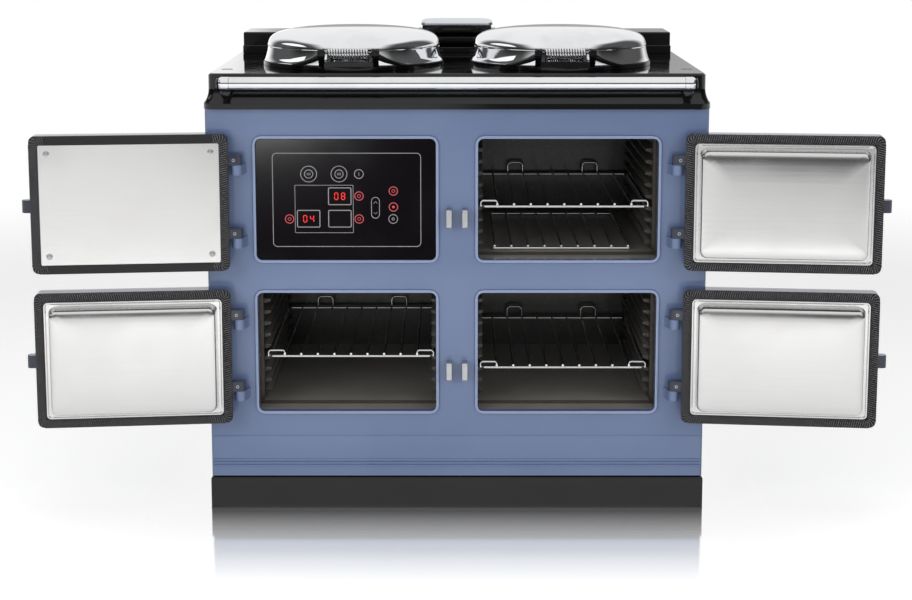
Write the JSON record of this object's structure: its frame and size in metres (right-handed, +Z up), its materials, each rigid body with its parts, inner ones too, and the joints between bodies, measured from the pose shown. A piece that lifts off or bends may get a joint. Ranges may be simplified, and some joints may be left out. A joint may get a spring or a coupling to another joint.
{
  "type": "range cooker",
  "caption": "Enamelled cast-iron electric range cooker with hotplates under hinged domed lids, ovens with fold-back doors and wire shelves, and a glass touch panel.",
  "frame": {"origin": "middle of the plinth's underside, on the floor", "axes": "+X to the right as one faces the cooker, +Y to the rear, +Z up"},
  "size_m": [1.6746, 0.81, 0.9532],
  "materials": {
    "enamel_blue": "grey-blue vitreous enamel, glossy",
    "enamel_black": "black vitreous enamel, glossy",
    "chrome": "bright plated steel, polished",
    "brushed_steel": "stainless steel, brushed",
    "bright_steel": "galvanised sheet steel, matt",
    "raw_iron": "machined cast iron, ground",
    "oven_iron": "cast iron, dark brown-black enamel",
    "rope": "woven glass-fibre rope, dark grey",
    "insulation": "mineral packing, matt",
    "black_glass": "black printed glass, opaque, polished",
    "board": "laminate board, satin"
  },
  "bodies": {
    "cooker": {"plinth": "enamel_black", "levelling_feet": "bright_steel", "base_frame": "enamel_black", "front_plate": "enamel_blue", "door_catches": "chrome", "side_panels": "enamel_blue", "rear_panel": "bright_steel", "top_plate": "enamel_black", "handrail": "chrome", "handrail_brackets": "chrome", "rear_riser": "enamel_black", "vent_cowl": "enamel_black", "vent_cap": "brushed_steel", "hotplates": "raw_iron", "heating_elements": "bright_steel", "insulation": "insulation", "control_glass": "black_glass", "control_housing": "bright_steel", "control_board": "board", "terminal_box": "bright_steel", "lid_hinge_brackets": "chrome", "oven_upper_right": "oven_iron", "oven_lower_left": "oven_iron", "oven_lower_right": "oven_iron"},
    "door_upper_left": {"door_upper_left_shell": "enamel_blue", "door_upper_left_seal": "rope", "door_upper_left_handle": "chrome", "door_upper_left_liner": "brushed_steel"},
    "door_upper_right": {"door_upper_right_shell": "enamel_blue", "door_upper_right_seal": "rope", "door_upper_right_handle": "chrome", "door_upper_right_liner": "chrome"},
    "door_lower_left": {"door_lower_left_shell": "enamel_blue", "door_lower_left_seal": "rope", "door_lower_left_handle": "chrome", "door_lower_left_liner": "chrome"},
    "door_lower_right": {"door_lower_right_shell": "enamel_blue", "door_lower_right_seal": "rope", "door_lower_right_handle": "chrome", "door_lower_right_liner": "chrome"},
    "lid_left": {"lid_left_frame": "enamel_black", "lid_left_cover": "chrome", "lid_left_handle_coil": "chrome"},
    "lid_right": {"lid_right_frame": "enamel_black", "lid_right_cover": "chrome", "lid_right_handle_coil": "chrome"},
    "shelf_upper_right": {"shelf_upper_right": "chrome"},
    "shelf_lower_left": {"shelf_lower_left": "chrome"},
    "shelf_lower_right": {"shelf_lower_right": "chrome"},
    "floor_grid": {"floor_grid": "chrome"}
  },
  "joints": [
    {"name": "door_upper_left_hinge", "type": "hinge", "parent": "cooker", "child": "door_upper_left", "pos_m": [-0.4275, -0.345, 0.6275], "axis": [0, 0, -1], "range_deg": [-174, 0]},
    {"name": "door_upper_right_hinge", "type": "hinge", "parent": "cooker", "child": "door_upper_right", "pos_m": [0.4275, -0.345, 0.6275], "axis": [0, 0, 1], "range_deg": [-174, 0]},
    {"name": "door_lower_left_hinge", "type": "hinge", "parent": "cooker", "child": "door_lower_left", "pos_m": [-0.4275, -0.345, 0.3215], "axis": [0, 0, -1], "range_deg": [-174, 0]},
    {"name": "door_lower_right_hinge", "type": "hinge", "parent": "cooker", "child": "door_lower_right", "pos_m": [0.4275, -0.345, 0.3215], "axis": [0, 0, 1], "range_deg": [-174, 0]},
    {"name": "lid_left_hinge", "type": "hinge", "parent": "cooker", "child": "lid_left", "pos_m": [-0.212, 0.118, 0.901], "axis": [-1, 0, 0], "range_deg": [0, 95]},
    {"name": "lid_right_hinge", "type": "hinge", "parent": "cooker", "child": "lid_right", "pos_m": [0.212, 0.118, 0.901], "axis": [-1, 0, 0], "range_deg": [0, 95]},
    {"name": "shelf_upper_right_slide", "type": "slide", "parent": "cooker", "child": "shelf_upper_right", "axis": [0, -1, 0], "range_m": [0, 0.3]},
    {"name": "shelf_lower_left_slide", "type": "slide", "parent": "cooker", "child": "shelf_lower_left", "axis": [0, -1, 0], "range_m": [0, 0.3]},
    {"name": "shelf_lower_right_slide", "type": "slide", "parent": "cooker", "child": "shelf_lower_right", "axis": [0, -1, 0], "range_m": [0, 0.3]},
    {"name": "floor_grid_slide", "type": "slide", "parent": "cooker", "child": "floor_grid", "axis": [0, -1, 0], "range_m": [0, 0.3]}
  ]
}
